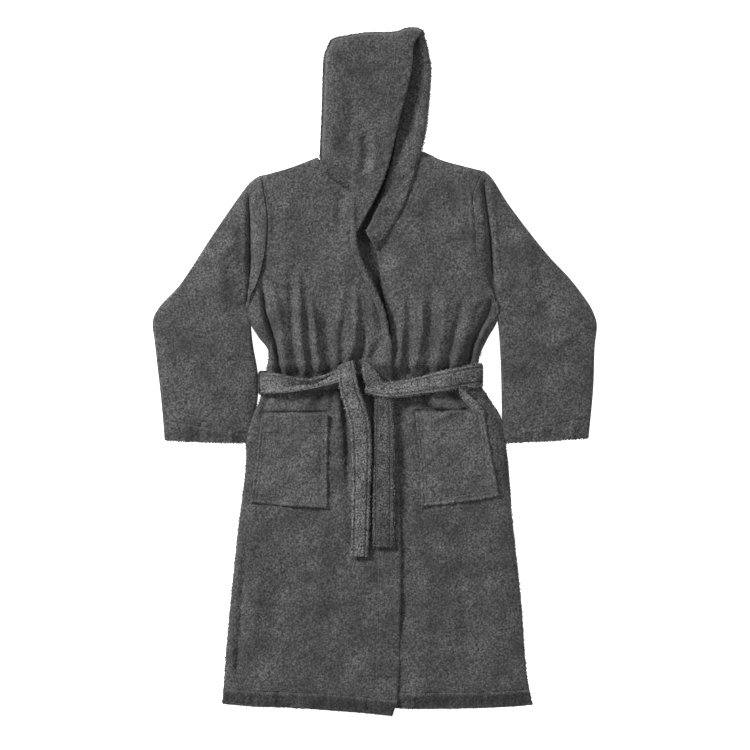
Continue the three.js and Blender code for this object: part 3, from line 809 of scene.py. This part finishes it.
def sleeve(side, armhole, inner, outer, cuff, creases, shift):
    name, body = side + "_sleeve_terry", side + "_sleeve"
    across = 62
    flat_u = np.linspace(0, 1, across)
    arc = np.linspace(0, math.pi, 15)[1:-1]
    grid, _, _ = patch(armhole, cuff, inner, outer, flat_u, sleeve_marks)
    rows = []
    for row, share in zip(grid, sleeve_marks):
        width = np.linalg.norm(row[-1] - row[0])
        inset = min(32 * MM / width, 0.4)
        tall = MM * np.interp(share, [0, 0.12, 0.5, 0.85, 1.0], [15.5, 15, 15, 12, 10.5])
        us = np.linspace(inset, 1 - inset, across)
        turned = inset * np.sin(arc)
        around = np.concatenate([us, 1 - inset + turned, us[::-1], inset - turned])
        high = np.concatenate([
            np.ones(across), 0.5 + 0.5 * np.cos(arc), np.zeros(across), 0.5 - 0.5 * np.cos(arc)])
        crest = np.clip(high * 2 - 1, 0, 1)
        x, y = np.interp(around, flat_u, row[:, 0]), np.interp(around, flat_u, row[:, 1])
        lift = uneven(x + shift, y) + 3 * MM * np.sin(math.pi * np.clip(around, 0, 1))
        crease = folds(x, y, creases) * ease(share, 0.004, 0.035)
        seam = body_height(x, y) - 0.3 * MM
        hold = 1 - ease(share, 0.02, 0.13)
        top = UNDERSIDE + tall * high + lift * crest
        joined = UNDERSIDE + (seam - UNDERSIDE) * high
        height = top * (1 - hold) + joined * hold + crease * crest
        height = height + hem_groove((1 - share) * SLEEVE_LONG, x, CUFF_DEEP) * crest
        rows.append(np.stack([x, y, np.maximum(height, 0.5 * MM)], axis=1))
    ring = np.array(rows)
    if np.cross(ring[10, 5] - ring[10, 4], ring[11, 4] - ring[10, 4])[2] < 0:
        ring = ring[:, ::-1]
    steps, loop = ring.shape[:2]
    closed = np.concatenate([ring[:, -1:], ring, ring[:, :1]], axis=1)
    within = ring - grid_normals(closed)[:, 1:-1] * SLEEVE_CLOTH
    count = steps * loop
    outside, j, k = tube_walls(steps, loop)
    inside = outside[:, ::-1] + count
    last = count - loop
    first_rim = np.stack([k, j, j + count, k + count], axis=1)
    last_rim = np.stack([last + j, last + k, last + k + count, last + j + count], axis=1)
    points = np.vstack([ring.reshape(-1, 3), within.reshape(-1, 3)])
    piece = cloth_mesh(name, points, np.vstack([outside, inside, first_rim, last_rim]).tolist(), robe_terry)

    def with_sleeve(made):
        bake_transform(made)

    with_sleeve(piece)
    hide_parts(body)
    cuff_row = int(np.argmin(np.abs((1 - sleeve_marks) * SLEEVE_LONG - CUFF_DEEP)))
    seams = [ring[cuff_row] + [0, 0, 0.3 * MM], ring[2, 3:across - 3]]
    stitches(name, seams, with_sleeve)
    sides = [ring[:, across + 7], ring[:, 2 * across + 20]]
    if abs(sides[0][50, 0]) <= 0.28:
        sides.reverse()
    pile_edge(name, [np.vstack([ring[-1], ring[-1, :1]])] + sides, with_sleeve)


sleeve(
    "right",
    smooth_line([(-281, 128), (-266, 172), (-249, 222), (-239, 276), (-237, 349), (-250, 429)]),
    smooth_line([(-281, 128), (-279, 92), (-268, 41), (-260, -10), (-262, -70), (-281, -157)]),
    smooth_line([(-250, 429), (-281, 402), (-349, 305), (-406, 217), (-432, 181), (-470, 141), (-485, 108),
                 (-480, 60), (-466, -67), (-459, -151)]),
    smooth_line([(-281, -157), (-370, -155), (-459, -151)]),
    [(-7.0, 6.5, 0.08, 0.3, [(-276, 398), (-275, 330), (-274, 250), (-277, 160)]),
     (-2.2, 3.5, 0.3, 0.2, [(-274, 250), (-277, 190), (-284, 132)]),
     (1.6, 6, 0.2, 0.3, [(-287, 380), (-286, 290), (-288, 200)]),
     (2.2, 12, 0.3, 0.3, [(-304, 350), (-308, 280), (-302, 200)]),
     (2.6, 14, 0.4, 0.4, [(-310, 330), (-340, 220), (-330, 120)]),
     (-2.2, 16, 0.4, 0.4, [(-400, 190), (-360, 130), (-320, 110)]),
     (2.2, 16, 0.4, 0.4, [(-440, 110), (-390, 60), (-340, 40)]),
     (-1.8, 18, 0.4, 0.4, [(-450, 60), (-400, 0), (-330, -40)])],
    0.7)
sleeve(
    "left",
    smooth_line([(272, 122), (262, 160), (240, 206), (224, 252), (220, 320), (216, 386), (237, 440)]),
    smooth_line([(272, 122), (276, 92), (279, 40), (281, -19), (282, -70), (284, -157)]),
    smooth_line([(237, 440), (256, 421), (291, 366), (342, 298), (383, 248), (427, 201), (465, 151),
                 (480, 122), (485, 98), (480, 50), (477, -38), (467, -146)]),
    smooth_line([(284, -157), (370, -153), (467, -146)]),
    [(-7.0, 7.5, 0.06, 0.2, [(233, 432), (239, 400), (246, 350), (252, 295), (258, 225), (263, 170)]),
     (1.8, 4.5, 0.1, 0.3, [(247, 420), (258, 350), (265, 295), (271, 225), (277, 170)]),
     (2.6, 15, 0.2, 0.3, [(286, 345), (342, 268), (398, 202), (444, 136)]),
     (-3.0, 14, 0.2, 0.5, [(262, 418), (290, 372), (320, 330)]),
     (2.6, 14, 0.4, 0.4, [(310, 330), (340, 220), (330, 120)]),
     (-2.2, 16, 0.4, 0.4, [(410, 190), (370, 130), (320, 110)]),
     (2.2, 16, 0.4, 0.4, [(450, 110), (400, 60), (350, 40)]),
     (-1.8, 18, 0.4, 0.4, [(450, 40), (400, 0), (330, -40)])],
    1.9)

# Left half of the hood: the under half, which runs on below the neck as the left lapel.
# Its loopy face edge stands beside the upper half's and leaves a narrow dark gap between them.
hood_left = smooth_line([(-120, 470), (-118, 520), (-116, 560), (-113, 661), (-110, 696), (-98, 726)])
hood_head = smooth_line([(-98, 726), (-84, 734), (-19, 745), (42, 747), (69, 755), (90, 756), (106, 750)])
under_right = smooth_line([
    (4, 268), (29, 305), (56, 351), (82, 419), (93, 459), (102, 483), (113, 527), (120, 593), (124, 661),
    (117, 710), (106, 750)])
under_foot = smooth_line([(-118, 470), (-80, 440), (-45, 380), (-25, 320), (4, 268)])
upper_edge = smooth_line([
    (-41, 305), (-19, 344), (9, 397), (29, 452), (42, 505), (56, 566), (69, 613), (80, 668), (84, 716),
    (104, 748)])
us, vs = spaced(0.24, 0.0032), spaced(0.49, 0.0036)
grid, x, y = patch(under_foot, hood_head, hood_left, under_right, us, vs)
outer = x_at(under_right, y)
slit = x_at(upper_edge, y)
crest = MM * np.interp(y, [0.44, 0.48, 0.53, 0.60, 0.70, 0.75], [32, 27, 19, 15, 14, 12])
outside_low = MM * np.interp(y, [0.44, 0.49, 0.54, 0.75], [25, 14, 5, 5])
inside_low = MM * np.interp(y, [0.44, 0.49, 0.55, 0.75], [27, 20, 8, 5])
slit_room = MM * np.interp(y, [0.27, 0.32, 0.34, 0.375, 0.42, 0.51, 0.60, 0.72], [24, 24, 21, 16, 9, 5, 3, 1])
wall_in = ease(x, slit + slit_room - 0.010, slit + slit_room)
rise = ease(x, slit + slit_room - 0.006, outer - 0.012)
standing = inside_low + (crest - inside_low) * rise
above = np.maximum(standing - outside_low, 0) * bulge(outer - x + 0.0012, 0.014)
standing = outside_low + above - np.maximum(outside_low - standing, 0)
lying = left_front_height(x, y) + 4.3 * MM + 1.0 * MM * bulge(outer - x, 0.010)
neck_turn = ease(y, 0.43, 0.49)
LAID = 4.6 * MM
height = LAID + (lying * (1 - neck_turn) + standing * neck_turn - LAID) * wall_in
height += 0.5 * uneven(x, y)
height += 1.8 * MM * (1 - ease(y_at(hood_head, x) - y, 0.002, 0.012))
under_top = np.dstack([grid, height])
under_hood = shell("left_hood_terry", under_top, robe_terry)


def with_hood(piece):
    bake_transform(piece)


with_hood(under_hood)
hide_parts("left_hood_half", "left_hood_band", "left_lapel")
pile_edge(
    "left_hood_edge",
    [lowered(under_top[:, -1]), lowered(under_top[-1]), lowered(under_top[:, 0], MM)], with_hood)

# Right half of the hood: the upper half, sewn to the under half up the back and over the top.
# It runs on down the neck as the right lapel and ends on the front edge above the chest.
upper_foot = smooth_line([
    (-120, 470), (-112, 443), (-85, 420), (-60, 404), (-54, 372), (-48, 336), (-41, 305)])
UPPER_LONG = 0.46
us, vs = spaced(0.21, 0.0032, [(0.165, 0.21)]), spaced(UPPER_LONG, 0.0036)
grid, x, y = patch(upper_foot, hood_head, hood_left, upper_edge, us, vs)
from_back = x - x_at(hood_left, y)
from_top = y_at(hood_head, x) - y
puff = MM * np.interp(y, [0.30, 0.40, 0.47, 0.55, 0.70, 0.76], [24, 25, 25, 24, 21, 16])
neck_hold = 1 - ease(y, 0.40, 0.47)
round_back = np.maximum(bulge(from_back + 0.0004, 0.040), neck_hold)
height = 8.6 * MM + puff * round_back * bulge(from_top + 0.0003, 0.040)
height += 3.5 * MM * (1 - ease(x_at(upper_edge, y) - x, 0, 0.05)) * (1 - ease(y, 0.66, 0.74))
hood_creases = [
    (-2.2, 12, 0.4, 0.4, [(-60, 640), (-50, 560), (-60, 490)]),
    (2.4, 12, 0.4, 0.4, [(-90, 560), (-92, 500), (-100, 460)]),
    (2.2, 9, 0.3, 0.4, [(-40, 540), (-36, 470), (-48, 420)]),
    (-2.2, 8, 0.3, 0.4, [(-22, 530), (-18, 470), (-30, 410)]),
    (2.4, 9, 0.3, 0.4, [(-4, 540), (4, 470), (-12, 400)]),
    (-1.6, 14, 0.4, 0.4, [(-80, 700), (-20, 690), (40, 700)]),
]
height += folds(x, y, hood_creases) + uneven(x - 0.4, y)
to_seam = np.minimum(from_top, np.maximum(from_back, 0.01 * neck_hold))
height = ON_BACK + (height - ON_BACK) * ease(to_seam, 0.0015, 0.008)
sewn = 1 - ease(vs[:, None] * UPPER_LONG, 0.002, 0.050)
height = height * (1 - sewn) + (right_front_height(x, y) + 0.8 * MM) * sewn
upper_top = np.dstack([grid, height])
# The hood above the neck carries a little painted shade.
upper_hood = shell("right_hood_terry", upper_top, robe_terry, painted_shade=0.30 * ease(y, 0.42, 0.52))
with_hood(upper_hood)
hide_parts("right_hood_half", "right_hood_band", "right_lapel")
pile_edge(
    "right_hood_edge",
    [lowered(upper_top[:, -1]), lowered(upper_top[-1]), lowered(upper_top[:, 0], MM)], with_hood)
neck_line = smooth_line([(-122, 464), (-111, 447), (-88, 425), (-62, 406), (-50, 396)])
neck_seam = along(neck_line, np.linspace(0, 1, 40))
neck_lift = right_front_height(neck_seam[:, 0], neck_seam[:, 1]) + 1.4 * MM
NOTCH_HEIGHT = 8 * MM
neck_lift = NOTCH_HEIGHT + (neck_lift - NOTCH_HEIGHT) * ease(neck_seam[:, 0], -0.124, -0.104)
neck_seam = np.column_stack([neck_seam, neck_lift])
ridge = [neck_seam - np.array(step) * MM for step in ((0, 0, 0), (2, 2, 0), (4, 4, 1), (-1, -1, 2))]
pile_edge("neck_seam_edge", ridge, cloth=pocket_terry)
stitches("neck_seam_stitching", [neck_seam - [0.007, 0.007, 0.001]])
seam_v = np.linspace(0.02, 0.97, 140)
stitches("right_hood_stitching", [on_patch(upper_top, us, vs, 1 - 0.040 / 0.20, seam_v)], with_hood)

# Pockets: two patch pockets, wider at the foot, sewn on along three sides with a hemmed mouth.
# The mouth stands a little off the skirt and throws a shadow.


POCKET_WIDE = 0.155
POCKET_LONG = 0.198
POCKET_SEAMS = (0.006, 0.0125)
MOUTH_HEM = 0.041


def bowed(start, end, sideways, down):
    return smooth_line([start, ((start[0] + end[0]) / 2 + sideways, (start[1] + end[1]) / 2 - down), end])


def pocket(side, corners, surface):
    name = side + "_pocket_terry"
    head_in, head_out, foot_out, foot_in = corners
    us = spaced(POCKET_WIDE, 0.003, [(0.0, 0.012), (0.143, 0.155)])
    vs = spaced(POCKET_LONG, 0.003, [(0.0, 0.012), (0.15, 0.166)])
    grid, x, y = patch(
        bowed(foot_in, foot_out, 0, 2), bowed(head_in, head_out, 0, 1),
        bowed(foot_in, head_in, 2, 0), bowed(foot_out, head_out, -1, 0), us, vs)
    from_side = np.minimum(us, 1 - us)[None] * POCKET_WIDE
    from_head = (1 - vs)[:, None] * POCKET_LONG
    edge = np.minimum(from_side, vs[:, None] * POCKET_LONG)
    stand = 4.8 * MM + 1.2 * MM * ease(edge, 0.014, 0.035) + 2.6 * MM * (1 - ease(from_head, 0, 0.03))
    outer_seam, inner_seam = POCKET_SEAMS
    seam = -2.0 * MM * hump(edge - outer_seam, 0.0018)
    seam = seam - 2.2 * MM * hump(edge - inner_seam, 0.002)
    seam = seam + 0.7 * puckers(x + y) * (1 - ease(edge, 0.012, 0.03))
    mouth = -1.8 * MM * hump(from_head - MOUTH_HEM, 0.002)
    mouth = mouth + 1.2 * MM * (1 - ease(from_head, MOUTH_HEM, MOUTH_HEM + 0.003))
    height = surface(x, y) + stand + seam + mouth + 0.5 * uneven(x * 1.7, y * 1.7 + 0.4)
    top = np.dstack([grid, height])
    piece = shell(name, top, pocket_terry, "robe")
    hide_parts(side + "_pocket")
    rows = []
    for inset in POCKET_SEAMS:
        du, dv = inset / POCKET_WIDE, inset / POCKET_LONG
        down, across = np.linspace(0.99, dv, 60), np.linspace(du, 1 - du, 50)
        u = np.concatenate([np.full(60, du), across, np.full(60, 1 - du)])
        v = np.concatenate([down, np.full(50, dv), down[::-1]])
        rows.append(on_patch(top, us, vs, u, v))
    rows.append(on_patch(top, us, vs, np.linspace(0.03, 0.97, 60), 1 - MOUTH_HEM / POCKET_LONG))
    stitches(name, rows)
    rim = np.vstack([top[::-1, 0], top[0], top[:, -1], top[-1, ::-1]])
    pile_edge(name, [lowered(rim)], cloth=pocket_terry)


pocket("right", [(-246, -96), (-103, -94), (-105, -298), (-271, -285)], right_front_height)
pocket("left", [(91, -91), (237, -87), (271, -273), (104, -294)], left_front_height)

# Belt: a long terry strap, folded double and stitched along both edges, tied once at the front.
# It passes round the waist and under the back, and is pinched narrow where it turns into the knot.
STRAP_STEP = 0.003
SEAM_PLACE = 0.33
ROUND_POINTS = 25
strap_seams = {}


def strap(name, middles, widths, thickness, material=belt_terry, tilt=0, channel=2.4, body="robe"):
    line = smooth_line(middles)
    count = max(8, round(line[1][-1] / STRAP_STEP))
    share = np.linspace(0, 1, count)
    centre = along(line, share)
    marks = np.linspace(0, 1, len(widths))
    wide = np.interp(share, marks, widths) * MM
    deep = np.interp(share, marks, thickness) * MM
    lean = np.radians(np.interp(share, marks, np.broadcast_to(tilt, len(widths))))
    run = unit(np.gradient(centre, axis=0))
    side = np.cross(run, [0.0, 0.0, 1.0])
    for i in range(count):
        if np.linalg.norm(side[i]) < 0.6 and i > 0:
            side[i] = side[i - 1] - run[i] * np.dot(side[i - 1], run[i])
        elif i > 0 and np.dot(side[i], side[i - 1]) < 0:
            side[i] = -side[i]
        side[i] /= np.linalg.norm(side[i])
    face = np.cross(side, run)
    turned_side = side * np.cos(lean)[:, None] + face * np.sin(lean)[:, None]
    turned_face = face * np.cos(lean)[:, None] - side * np.sin(lean)[:, None]
    flat = np.linspace(-0.5, 0.5, ROUND_POINTS)
    out = np.concatenate([flat, flat[-2:0:-1]])
    upward = np.concatenate([np.ones(ROUND_POINTS), -np.ones(ROUND_POINTS - 2)])
    swell = np.sqrt(np.maximum(1 - (np.abs(out) * 2) ** 6, 0.0))
    sewn = hump(out - SEAM_PLACE, 0.045) + hump(out + SEAM_PLACE, 0.045)
    rows = []
    for c, s, f, w, d in zip(centre, turned_side, turned_face, wide, deep):
        offset = upward * (swell * d / 2 - np.minimum(channel * MM * sewn, d / 2.6) * (swell > 0.5))
        rows.append(c + np.outer(out * w, s) + np.outer(offset, f))
    ring = np.array(rows)
    seam_lift = (deep / 2 - 0.7 * np.minimum(channel * MM, deep / 3))[:, None] * turned_face
    reach = (SEAM_PLACE * wide)[:, None] * turned_side
    strap_seams[name] = [centre + reach + seam_lift, centre - reach + seam_lift]
    strap_seams[name + "_sides"] = [ring[:, 0], ring[:, ROUND_POINTS - 1]]
    loop = ring.shape[1]
    walls, j, k = tube_walls(count, loop)
    tips = np.array([centre[0] - run[0] * 1.5 * MM, centre[-1] + run[-1] * 1.5 * MM])
    total = count * loop
    points = np.vstack([ring.reshape(-1, 3), tips])
    first = np.stack([k, j, np.full(loop, total)], axis=1)
    last = total - loop
    final = np.stack([last + j, last + k, np.full(loop, total + 1)], axis=1)
    faces = walls.tolist() + first.tolist() + final.tolist()
    # The stitched channels carry painted shade along the seam lines.
    piece = cloth_mesh(name, points, faces, material, body, np.concatenate([np.tile(sewn, count), [0, 0]]))
    volume = 0.0
    piece.data.calc_loop_triangles()
    for t in piece.data.loop_triangles:
        a, b, c = (piece.data.vertices[i].co for i in t.vertices)
        volume += a.dot(b.cross(c))
    if volume < 0:
        piece.data.flip_normals()
    return piece


waist = strap(
    "belt_run_terry",
    [(-56, -8, 34), (-92, -20, 32), (-126, -26, 30), (-151, -28, 29), (-180, -28, 27), (-206, -27, 25),
     (-240, -25, 19), (-251.5, -25, 11), (-246, -25, 4.2), (-225, -24, 3.2), (-120, -18, 3.2), (0, -14, 3.2),
     (120, -11, 3.2), (210, -8, 3.2), (228, -8, 4.2), (234, -8, 11), (226, -8, 19), (200, -12, 25),
     (141, -23, 30), (69, -37, 33), (25, -40, 37), (-6, -38, 38), (-20, -36, 35)],
    [46, 40, 38, 40, 47, 45, 44, 44, 44, 44, 44, 44, 44, 44, 44, 45, 48, 49, 45, 40, 37, 33, 22],
    [7, 8, 9, 9, 8, 7, 6, 5.6, 5.4, 5.4, 5.4, 5.4, 5.4, 5.4, 5.4, 5.6, 6, 6, 7, 9, 12, 12, 8],
    tilt=[-16, 30, 60, 34, 0, 0, 0, 0, 0, 0, 0, 0, 0, 0, 0, 0, 0, 14, 2, -10, -14, -8, 0])
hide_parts("belt_waist")
belt_turn = strap(
    "belt_turn_terry",
    [(-238, -43, 25), (-200, -41, 30), (-150, -33, 34), (-118, -24, 37), (-88, -14, 39), (-64, -5, 39)],
    [11, 13, 15, 18, 24, 30], [5, 6, 6, 6, 6, 6], tilt=[8, 14, 20, 20, 12, 0], channel=0.8)


def strap_details(name, fix=on_robe):
    raised = [np.maximum(row, [-9, -9, 1.2 * MM]) for row in strap_seams[name]]
    stitches(name, raised, fix, 0.0040)
    sides = [lowered(row, 0) for row in strap_seams[name + "_sides"]]
    pile_edge(name, sides, fix, belt_terry, 0.0026)


strap_details("belt_run_terry")
knot_bit = strap(
    "belt_knot_terry",
    [(-19, 17, 25), (-17, 11, 31), (-14, 1, 35), (-9, -11, 37.5), (-2, -22, 38), (6, -33, 36.5),
     (12, -40, 33)],
    [20, 28, 34, 36, 34, 30, 24], [8, 9, 10, 10, 9, 8, 7], tilt=[44, 42, 36, 24, 10, 0, -6], channel=1.6)
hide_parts("belt_knot")
strap_details("belt_knot_terry")

# The lower tail takes the darker copy of the belt's terry: painted shade.
lower_tail = strap(
    "belt_tail_lower_terry",
    [(6, -30, 36), (14, -48, 35), (19, -70, 34), (20, -140, 33.6), (19, -240, 33), (19, -330, 31.6),
     (19, -384, 30.6)],
    [30, 38, 44, 46, 46, 46, 45], [6, 6, 6, 6, 6, 6, 5.6], shaded_terry, body=None)


def with_lower_tail(piece):
    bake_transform(piece)


with_lower_tail(lower_tail)
strap_details("belt_tail_lower_terry", with_lower_tail)
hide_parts("belt_tail_lower")

upper_tail = strap(
    "belt_tail_upper_terry",
    [(-60, 6, 36), (-64, 17, 40), (-62, 8, 46), (-60, -14, 49), (-52, -50, 47), (-38, -92, 43),
     (-31, -130, 40.8), (-29, -208, 38.4), (-31, -318, 34.6), (-34, -404, 31.6)],
    [34, 40, 42, 44, 44, 42, 39, 39, 38, 38], [6, 6, 6.5, 6.5, 6, 6, 6, 6, 6, 5.6], body=None)


def with_upper_tail(piece):
    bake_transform(piece)


with_upper_tail(upper_tail)
strap_details("belt_tail_upper_terry", with_upper_tail)
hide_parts("belt_tail_upper")

# Belt loops: two slim straps of the robe's own cloth, stitched along both edges, one in each side seam.
# The left one is slack and trails forward on the hip below the belt.
left_loop = strap(
    "left_belt_loop_terry",
    [(218, 17, 17), (229, 16.4, 13), (235.6, 13, 11), (236.4, -8, 11), (235.6, -29, 14), (230, -33, 21),
     (212, -35, 27), (190, -36, 31), (197, -54, 32), (220, -77, 30), (247, -103, 18)],
    [12, 12, 12, 12, 12, 12, 14, 18, 20, 17, 12], [4.4, 4.4, 4, 4, 4, 3.4, 3, 4, 4.4, 4, 3],
    tilt=[90, 90, 90, 90, 90, 50, 10, 0, 0, 0, 0], channel=1.4)
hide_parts("left_belt_loop")
right_loop = strap(
    "right_belt_loop_terry",
    [(-232, 0, 15), (-246, -0.4, 13), (-253.6, -3, 11), (-254.6, -25, 11), (-253.6, -47, 11),
     (-246, -49.6, 12), (-236, -50, 13)],
    [12] * 7, [4.4] * 7, band_terry, tilt=90, channel=0.5)
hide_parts("right_belt_loop")

# Hanger loop: a short woven tape sewn inside the back of the neck.
# Its two ends are fixed, and it lifts to go over a peg.
hanger = strap(
    "hanger_loop_tape",
    [(-27, 471, 5.6), (-25, 458, 5.8), (-14, 453, 5.8), (0, 452, 5.8), (14, 453, 5.8), (25, 458, 5.8),
     (27, 471, 5.6)],
    [7] * 7, [1.6] * 7, band_terry, channel=0.1, body="hanger_loop")
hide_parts("hanger_loop")
